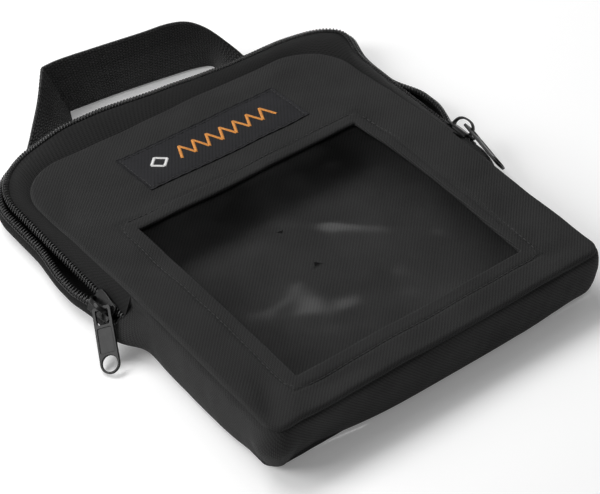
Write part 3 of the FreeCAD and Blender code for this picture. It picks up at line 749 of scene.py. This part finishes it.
def chain(materials):
    """Both tapes and both coil rows, parted as the open zip leaves them."""
    def on_pouch(piece):
        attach(piece, "pouch")

    raised, front_row = chain_line(-ROW_ACROSS, 0.5), chain_line(-ROW_ACROSS)
    front_row += (raised - front_row) * smooth(front_row[:, 1:2], 80, 96)
    back_row = chain_line(ROW_ACROSS, 0, 0.4, 1.0)
    outwards = unit((chain_rail(1.0, 0) - chain_rail(0.0, 0)) * (1, 1, 0))
    across = unit(outwards * TILT - np.array([0, 0, TILT]))
    tape(
        "front_zip_tape", "zip_tape_front", bend_at_fold,
        seam_line(0.3, lambda x, y: top_surface(x, y) - 1.5),
        seam_line(-0.6, lambda x, y: top_surface(x, y) - 0.4),
        chain_line(-KNEE_ACROSS, 1.4), chain_line(-ROW_ACROSS + 1.6, -0.5), materials,
    )
    tape(
        "back_zip_tape", "zip_tape_back", on_pouch,
        seam_line(0.2, lambda x, y: 0 * x + FLOOR_PLY + 1.4),
        chain_rail(4.0, 1.5, 0.2, 0.6), chain_line(KNEE_ACROSS + 1.5, 0.6, 0.4, 1.0),
        chain_line(ROW_ACROSS - 1.0, -0.9, 0.4, 1.0), materials,
    )
    coil("front_zip_coil", "zip_coil_front", bend_at_fold, front_row, across, materials, 1)
    coil("back_zip_coil", "zip_coil_back", on_pouch, back_row, across, materials, -1)


# ---------------- sliders and pull tabs


def band_round(circles):
    """The outline of a band stretched round circles, each (x, y, radius)."""
    turns = np.linspace(0, 2 * math.pi, 32, endpoint=False)
    dots = sorted({(round(x + r * math.cos(t), 4), round(y + r * math.sin(t), 4))
                   for x, y, r in circles for t in turns})

    def half(points):
        chain_points = []
        for p in points:
            while len(chain_points) > 1:
                a, b = chain_points[-2:]
                if (b[0] - a[0]) * (p[1] - a[1]) - (b[1] - a[1]) * (p[0] - a[0]) > 0:
                    break
                chain_points.pop()
            chain_points.append(p)
        return chain_points[:-1]

    return np.array(half(dots) + half(dots[::-1]))


def flat_part(outlines, low, high, bevel):
    """Points and faces of a plate between two levels, with its holes and softened edges."""
    curve = bpy.data.curves.new("plate", "CURVE")
    curve.dimensions, curve.fill_mode = "2D", "BOTH"
    curve.extrude = (high - low) / 2 - bevel
    curve.bevel_depth, curve.bevel_resolution, curve.offset = bevel, 2, -bevel
    for outline in outlines:
        line = curve.splines.new("POLY")
        line.points.add(len(outline) - 1)
        for point, (x, y) in zip(line.points, outline):
            point.co = (x, y, 0, 1)
        line.use_cyclic_u = True
    holder = add_object("plate", curve)
    mesh = bpy.data.meshes.new_from_object(holder)
    points = np.array([vertex.co for vertex in mesh.vertices]) + (0, 0, (low + high) / 2)
    faces = [list(polygon.vertices) for polygon in mesh.polygons]
    bpy.data.objects.remove(holder)
    bpy.data.curves.remove(curve)
    bpy.data.meshes.remove(mesh)
    return points, faces


def strap(path, widths, thickness):
    """Points and faces of a soft-cornered bar along a path in the YZ plane."""
    path = np.asarray(path, float)
    tangent = unit(np.gradient(path, axis=0))
    normal = np.stack([0 * tangent[:, 0], -tangent[:, 2], tangent[:, 1]], 1)
    turns = np.linspace(0, 2 * math.pi, 16, endpoint=False) + math.pi / 16
    squareness = 0.45
    square = np.sign(np.cos(turns)) * np.abs(np.cos(turns)) ** squareness
    lift = np.sign(np.sin(turns)) * np.abs(np.sin(turns)) ** squareness
    sideways = np.array([1.0, 0, 0])
    return skin(path[:, None] + sideways * (square[None, :, None] * widths[:, None, None] / 2)
                + normal[:, None] * lift[None, :, None] * thickness / 2)


def placed(points, axes, origin):
    """Points from a part's own axes, given as rows, to the frame."""
    return points @ np.asarray(axes) + origin


def slider(side, materials):
    """A slider's body: two shouldered plates, side rails, the wedge between, and the bridge."""
    sign = -1 if side == "left" else 1
    axes = np.array([[TILT, 0, -sign * TILT], [0, 1, 0], [sign * TILT, 0, TILT]])
    plate = band_round([(3.5, 4.9, 1.5), (-3.5, 4.9, 1.5), (3.6, 2.2, 1.4), (-3.6, 2.2, 1.4),
                        (2.5, -5.7, 1.3), (-2.5, -5.7, 1.3)])
    inner, outer = 1.65, 2.65
    parts = [flat_part([plate], inner, outer, 0.3), flat_part([plate], -outer, -inner, 0.3)]
    for flank in (-1, 1):
        rail_line = band_round([(flank * 3.45, -5.6, 0.45), (flank * 4.3, 1.6, 0.45)])
        parts += [flat_part([rail_line], 0.5, 1.75, 0.12), flat_part([rail_line], -1.75, -0.5, 0.12)]
    wedge = band_round([(0, 5.6, 0.75), (0, 1.4, 0.2)])
    parts.append(flat_part([wedge], -1.75, 1.75, 0.1))
    arch = spline([(0, -5.3, 2.3), (0, -5.35, 3.9), (0, -4.6, 5.9), (0, -2.6, 7.2), (0, 0, 7.5),
                   (0, 2.8, 7.0), (0, 4.6, 5.6), (0, 5.3, 3.9), (0, 5.3, 2.3)], 48)
    widths = 2.0 + 0.9 * (1 - smooth(arch[:, 2], 2.3, 4.5))
    for name, node, (points, faces) in (
        ("cast_slider_", "slider_body_", gather(parts)),
        ("cast_bridge_", "slider_bridge_", strap(arch, widths, 0.9)),
    ):
        piece = make_mesh(name + side, placed(points, axes, SLIDER[side]), faces, materials["enamel"])
        soften(piece)
        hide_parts(node + side)
        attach(piece, "slider_" + side)


def soften(piece):
    """Smooth shading with hard edges kept."""
    piece.data.set_sharp_from_angle(angle=math.radians(40))


def pull_tab(side, materials):
    """A cast tab: raised rim, sunk face, round hole, and an eye with its bar through the bridge."""
    hinge = joint(f"pull_{side}_swing")
    mount = next(m for m in frame["record"]["mounts"] if m["name"] == "pull_hole_" + side)
    across, up = -np.array(hinge["axis"]), np.array(mount["axis"])
    axes = np.array([across, np.cross(up, across), up])
    origin = np.array(hinge["pos_m"]) / MM
    reach = np.dot(np.array(mount["pos_m"]) / MM - origin, axes[1])
    hole = mount["dims"]["r_mm"]
    turns = np.linspace(0, 2 * math.pi, 40, endpoint=False)
    ring = np.stack([hole * np.cos(turns), reach + hole * np.sin(turns)], 1)
    blank = band_round([(3.0, -0.2, 1.0), (-3.0, -0.2, 1.0), (0, reach, 4.2)])
    eye = band_round([(2.1, -1.4, 0.5), (-2.1, -1.4, 0.5), (1.7, -5.9, 0.9), (-1.7, -5.9, 0.9)])
    face = band_round([(2.3, -8.8, 0.6), (-2.3, -8.8, 0.6),
                       (2.4, reach + 5.2, 0.7), (-2.4, reach + 5.2, 0.7)])
    core = band_round([(2.6, -8.6, 0.7), (-2.6, -8.6, 0.7),
                       (2.7, reach + 5.0, 0.8), (-2.7, reach + 5.0, 0.8)])
    points, faces = gather([flat_part([blank, eye, face, ring], -0.6, 0.6, 0.22),
                            flat_part([core], -0.36, 0.36, 0.05)])
    piece = make_mesh("cast_pull_" + side, placed(points, axes, origin), faces, materials["enamel"])
    soften(piece)
    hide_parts("pull_tab_" + side)
    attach(piece, "pull_" + side)


# ---------------- carry loop


def carry_loop(materials):
    """A loop of ribbed webbing: flat ends under the zip, a turn on edge, and a fold at the left."""
    inner, outer = 35.3, 60.7
    root, end = joint("handle_swing")["pos_m"][1] / MM, HALF_LENGTH + 0.4
    top_edge = [(-outer, end, 1.1), (-outer - 1, 104, 1.1), (-outer - 2.6, root, 1.3),
                (-53.2, 124.2, 9.3), (-42.6, 133.9, 17.2), (-34.8, 142.4, 24.4),
                (-33.4, 143.9, 25.2), (-31.6, 144.4, 25.4),
                (-23, 144.3, 25.5), (-4, 141.7, 25.5), (16, 139, 25.3), (30, 137.4, 25.2),
                (39, 134.5, 24.0), (46, 130.5, 20.0), (52, 126, 14.0), (57.5, 120.5, 7.0),
                (outer, root, 1.6), (outer, 104, 1.1), (outer, end, 1.1)]
    low_edge = [(-inner, end, 1.1), (-inner, 104, 1.1), (-inner, root, 1.1), (-32.0, 122.2, 0.8),
                (-28.8, 129.9, 0.6), (-26.2, 136.3, 0.5), (-25.3, 137.6, 0.5), (-23.6, 137.9, 0.5),
                (-17, 137.6, 0.4), (-3, 136.4, 0.4), (12, 134.5, 0.4), (26, 132.4, 0.4),
                (37, 130.5, 0.4), (45, 127.5, 0.5), (46.5, 123.0, 0.7), (41.5, 118.5, 0.9),
                (inner, root, 1.1), (inner, 104, 1.1), (inner, end, 1.1)]
    along_steps, across_steps = 640, 78
    half, relief = 0.55, 0.50
    top, low = matched(top_edge, low_edge, along_steps)
    share = np.linspace(0, 1, across_steps)[:, None, None]
    points = top[None] * (1 - share) + low[None] * share
    run = run_along(points[across_steps // 2])
    u, v = np.broadcast_arrays(np.linspace(0, WEBBING_WIDTH, across_steps)[:, None], run[None, :])
    thickness = 2 * (half + relief * ribbed(u, v))[..., None]
    piece = cloth("carry_loop", points, materials["webbing"], thickness, uv=np.stack([u, v], -1))
    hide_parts("handle_middle", "handle_twist_left", "handle_twist_right",
                "handle_end_left", "handle_end_right")
    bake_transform(piece)


def matched(first, second, count):
    """Two edges of one strip, sampled so that facing points stay together."""
    both = spline(np.concatenate([first, second], 1), count)
    return both[:, :3], both[:, 3:]


def ribbed(u, v):
    """The height of webbing's crossed ribs at u across and v along."""
    across, along = 1.27, 1.35
    shift = (np.floor(u / across) % 2) * along / 2
    return np.sin(np.pi * (u / across % 1)) ** 0.6 * np.sin(np.pi * ((v + shift) / along % 1)) ** 0.6


# ---------------- window film and stitching


# Each wave of the film: its middle, half sizes, turn in degrees and height.
FILM_WAVES = (
    ((-27, -33), (14, 11), 35, 2.0),
    ((33, 19), (8, 7), -20, 1.0),
    ((22, -26), (34, 5), -42, 0.8),
)


def window_film(materials):
    """Clear film under the window's hem, which bellies out in a few shallow waves."""
    x0, x1, y0, y1 = WINDOW
    rows = np.linspace(y0 - WINDOW_LAP, y1 + WINDOW_LAP, 90)
    y, x = np.meshgrid(rows, np.linspace(x0 - WINDOW_LAP, x1 + WINDOW_LAP, 90), indexing="ij")
    inside = np.clip(np.minimum(np.minimum(x - x0, x1 - x), np.minimum(y - y0, y1 - y)), 0, 18) / 18
    wave = inside * (0.4 * ripple(x, y, 61, 75, 2) - 0.5)
    for at, size, turn, height in FILM_WAVES:
        wave = wave + height * hill(x, y, at, size, turn)
    z = top_surface(x, y) - PLY - 0.75 + wave
    piece = cloth("window_film", np.stack([x, y, z], -1), materials["film"], FILM_PLY)
    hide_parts("window_pane_lower", "window_pane_upper")
    bend_at_fold(piece)


def stitches(line, normals, pitch=2.7, length=2.1, radius=0.24):
    """Single stitches along a line, each sunk into the cloth at both its ends."""
    lift, rise, sunk = 0.1, 0.22, 0.16
    run = run_along(line)
    parts = []
    for start in np.arange(0.3, run[-1] - length, pitch):
        steps = start + np.linspace(0, length, 6)
        arch = np.sin(np.linspace(0, math.pi, 6))
        path = sample(line, run, steps) + sample(normals, run, steps) * (lift + rise * arch - sunk)[:, None]
        parts.append(tube(path, radius * (0.55 + 0.45 * arch), 6))
    return gather(parts)


def surface_line(xy):
    """A line on the front's outer face, with the face's normals."""
    z = top_surface(xy[:, 0], xy[:, 1])
    step = 0.5
    slope_x = (top_surface(xy[:, 0] + step, xy[:, 1]) - z) / step
    slope_y = (top_surface(xy[:, 0], xy[:, 1] + step) - z) / step
    normals = unit(np.stack([-slope_x, -slope_y, np.ones(len(z))], 1))
    return np.stack([xy[:, 0], xy[:, 1], z], 1), normals


def closed(loop):
    """The outline with its first point again at its end."""
    return np.concatenate([loop, loop[:1]])


def window_stitching(materials):
    """The seam round the window, sunk into the panel."""
    line, normals = surface_line(closed(window_outline(-(HEM - 0.4))))
    line[:, 2] -= 0.35
    points, faces = stitches(line, normals)
    piece = make_mesh("window_stitches", points, faces, materials["thread"])
    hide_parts("window_thread_lower", "window_thread_upper")
    bend_at_fold(piece)


def label(materials):
    """A satin patch that follows the panel, with a seam just inside its edge."""
    x0, y0 = LABEL_LOW[:2]
    x1, y1 = LABEL_HIGH[:2]
    y, x = np.meshgrid(np.linspace(y0, y1, 40), np.linspace(x0, x1, 110), indexing="ij")
    edge = np.minimum(np.minimum(x - x0, x1 - x), np.minimum(y - y0, y1 - y))
    seam_inset = 1.3
    pucker = 0.16 * np.exp(-edge / 2.5) * np.sin((x + y) * 1.1)
    pucker = pucker - 0.25 * np.exp(-((edge - seam_inset) / 0.6) ** 2)
    z = top_surface(x, y) + 0.34 + pucker + 0.22 * smooth(edge, 1.5, 6)
    patch = cloth("label_satin", np.stack([x, y, z], -1), materials["label"], SATIN_PLY,
                  uv=np.stack([x, y], -1))
    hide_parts("label_patch")
    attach(patch, "flap")
    loop = rounded_loop(seam_inset, (1.0, 1.0), bounds=(x0, x1, y0, y1))
    line, normals = surface_line(closed(loop))
    points, faces = stitches(line + (0, 0, 0.36), normals, pitch=2.3, length=1.8, radius=0.17)
    seam = make_mesh("label_stitches", points, faces, materials["thread"])
    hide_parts("label_thread")
    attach(seam, "flap")


def satin(corners, width):
    """Close-set threads across a run of straight strokes."""
    spacing, slant = 0.2, 0.25
    parts = []
    for first, second in zip(corners, corners[1:]):
        run = np.array(second) - np.array(first)
        length = np.linalg.norm(run)
        along = run / length
        side = np.array([-along[1], along[0]]) + along * slant
        for step in np.arange(0, length, spacing):
            middle = np.array(first) + along * step
            share = np.linspace(-0.5, 0.5, 5)
            xy = middle + side * (share * width)[:, None]
            line, normals = surface_line(xy)
            arch = np.cos(share * math.pi)
            path = line + normals * (0.66 + 0.26 * arch)[:, None]
            parts.append(tube(path, 0.14, 5))
    return gather(parts)


def embroidery(materials):
    """A plain zigzag and a diamond, where the CAD model has them."""
    low, high = box_mm("label_motif_orange")
    half = 0.7
    x0, x1, middle = low[0] + half, high[0] - half, (low[1] + high[1]) / 2
    rise = (high[1] - low[1]) / 2 - half
    legs = 14
    zigzag = [(x0 + (x1 - x0) * k / legs, middle + rise * (-1) ** (k + 1)) for k in range(legs + 1)]
    low, high = box_mm("label_motif_white")
    cx, cy = (low[:2] + high[:2]) / 2
    size = (high[0] - low[0]) / 2 - half
    diamond = [(cx + size * a, cy + size * b) for a, b in ((0, -1), (1, 0), (0, 1), (-1, 0), (0, -1))]
    for name, corners, slot_name, tone in (
        ("label_motif_orange", zigzag, "orange_thread", "orange"),
        ("label_motif_white", diamond, "white_thread", "white"),
    ):
        points, faces = satin(corners, 1.3)
        piece = make_mesh(name + "_threads", points, faces, materials[tone])
        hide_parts(name)
        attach(piece, "flap")


def bartacks(materials):
    """Dense bars of stitches that hold the loop's ends."""
    for side in ("left", "right"):
        low, high = box_mm("handle_bartack_" + side)
        parts = []
        for x in np.arange(low[0] + 0.3, high[0], 0.5):
            crest = (x + 0.15, (low[1] + high[1]) / 2, high[2] + 0.35)
            path = spline([(x, low[1], low[2] - 0.1), crest, (x + 0.3, high[1], low[2] - 0.1)], 6)
            parts.append(tube(path, 0.2, 5))
        points, faces = gather(parts)
        piece = make_mesh("bartack_" + side, points, faces, materials["thread"])
        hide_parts("handle_bartack_" + side)
        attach(piece, "pouch")


# ---------------- stage and camera


def stage_and_light():
    """A pale floor just under the pouch, soft white surroundings and four rectangular lamps."""
    bpy.ops.mesh.primitive_plane_add(size=6.0, location=(0, 0, -0.0002))
    floor = bpy.context.object
    floor.name = "floor"
    material, _, shader = new_material("pale floor", Roughness=0.9, Specular_IOR_Level=0.1)
    shader.inputs["Base Color"].default_value = (0.95, 0.95, 0.95, 1)
    shader.inputs["Emission Color"].default_value = (1, 1, 1, 1)
    shader.inputs["Emission Strength"].default_value = 0.16
    floor.data.materials.append(material)
    world = bpy.data.worlds.new("studio")
    bpy.context.scene.world = world
    world.use_nodes = True
    background = world.node_tree.nodes["Background"]
    background.inputs["Color"].default_value = (1, 1, 1, 1)
    background.inputs["Strength"].default_value = 0.14
    for name, place, size, power in (
        ("key", (-1.0, 0.45, 0.75), (0.7, 0.7), 11.0),
        ("top", (-0.2, 0.75, 1.15), (0.9, 0.5), 10.0),
        ("right", (1.0, 0.1, 0.6), (0.6, 0.6), 1.0),
        ("glint", (0.39, 0.57, 1.10), (0.22, 0.22), 1.0),
    ):
        light = bpy.data.lights.new(name, "AREA")
        light.shape = "RECTANGLE"
        light.size, light.size_y = size
        light.energy = power
        lamp = add_object(name, light)
        lamp.location = place
        aim = Vector((0, 0, 0.01)) - Vector(place)
        lamp.rotation_euler = aim.to_track_quat("-Z", "Y").to_euler()


def camera():
    """A long lens from the foot's left, looking down."""
    azimuth, elevation = math.radians(-37.46), math.radians(42.33)
    target, distance = Vector((0.00278, 0.00242, 0)), 0.83965
    back = Vector((math.sin(azimuth) * math.cos(elevation), -math.cos(azimuth) * math.cos(elevation),
                   math.sin(elevation)))
    data = bpy.data.cameras.new("camera")
    data.lens, data.sensor_width = 120.0, 36.0
    view = add_object("camera", data)
    view.location = target + back * distance
    view.rotation_euler = (-back).to_track_quat("-Z", "Y").to_euler()
    bpy.context.scene.camera = view


# ---------------- main

materials = make_materials()
front_panel(materials)
gusset(materials)
full_panel("back_panel_cloth", "back_panel", materials["shell"], 0.3, 0.75, 1.2, 0.04)
full_panel("back_lining_cloth", "back_lining", materials["lining"], 1.6, 2.0, 0.5, 0.5)
binding("binding_front", "seam_binding_front", box_mm("seam_binding_front")[0][2], materials)
binding("binding_back", "seam_binding_back", box_mm("seam_binding_back")[0][2], materials)
window_film(materials)
window_stitching(materials)
label(materials)
embroidery(materials)
chain(materials)
for side in ("left", "right"):
    slider(side, materials)
    pull_tab(side, materials)
carry_loop(materials)
bartacks(materials)
stage_and_light()
camera()
bpy.context.scene.view_settings.view_transform = "Standard"
